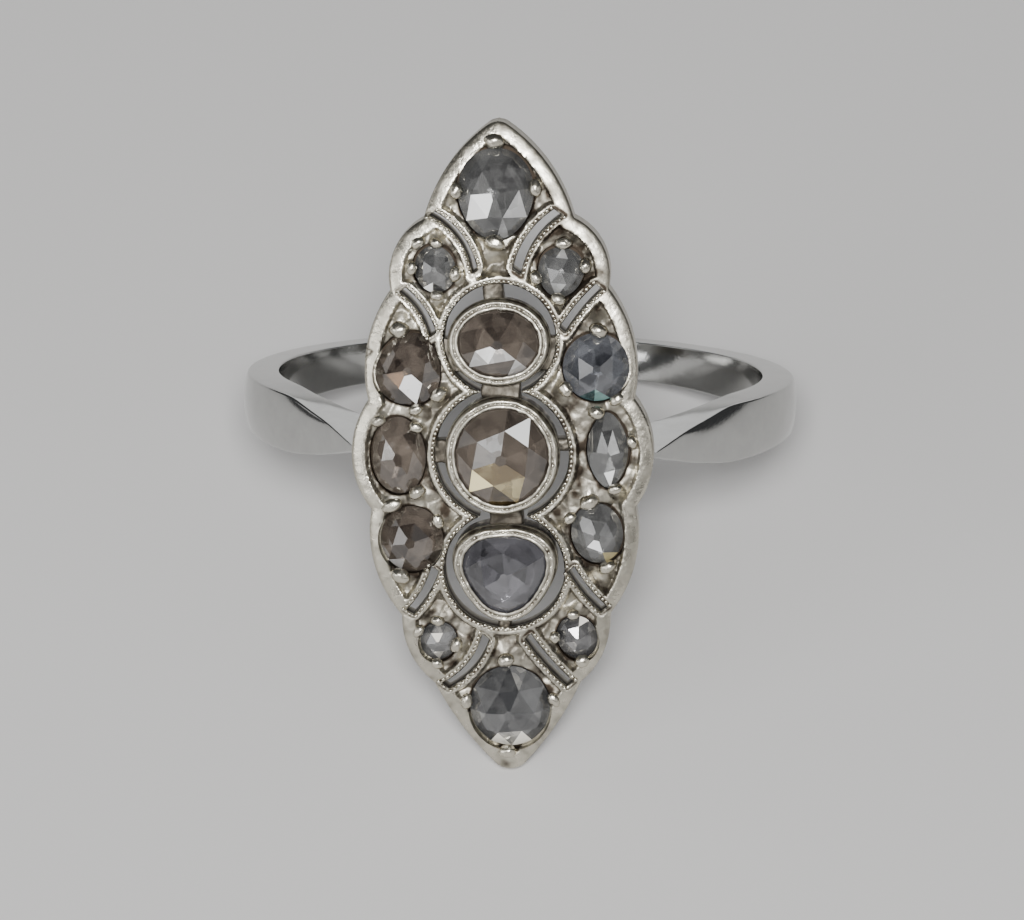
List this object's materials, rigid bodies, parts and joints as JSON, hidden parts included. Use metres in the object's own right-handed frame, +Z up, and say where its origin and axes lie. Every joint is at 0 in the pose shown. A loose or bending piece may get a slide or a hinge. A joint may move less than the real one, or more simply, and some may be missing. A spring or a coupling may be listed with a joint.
{
  "type": "diamond ring",
  "caption": "Navette finger ring: a long, domed, pierced plate set with rose-cut stones, the middle column in raised bezels, on a plain shank with tapered shoulders.",
  "frame": {"origin": "centre of the finger hole", "axes": "+X across the plate, to the right as seen from its front; -Y the side that the plate faces; +Z up, as the ring lies on a table, with the finger hole's axis tilted 30 degrees from +Z towards +Y"},
  "size_m": [0.0198, 0.0228, 0.02],
  "materials": {
    "metal": "aged white metal, polished on the shank and worn on the head",
    "stone_grey": "polished rose-cut diamond, greyish",
    "stone_brown": "polished rose-cut diamond, brownish",
    "stone_blue": "polished rose-cut diamond, bluish"
  },
  "bodies": {
    "root": {"ring_mount": "metal", "stone_top_tip": "stone_grey", "stone_upper_left": "stone_grey", "stone_upper_right": "stone_grey", "stone_left_1": "stone_brown", "stone_right_1": "stone_blue", "stone_left_2": "stone_brown", "stone_right_2": "stone_grey", "stone_left_3": "stone_brown", "stone_right_3": "stone_grey", "stone_lower_left": "stone_blue", "stone_lower_right": "stone_blue", "stone_bottom_tip": "stone_blue", "bezel_stone_upper": "stone_brown", "bezel_stone_middle": "stone_brown", "bezel_stone_lower": "stone_grey"}
  },
  "joints": []
}
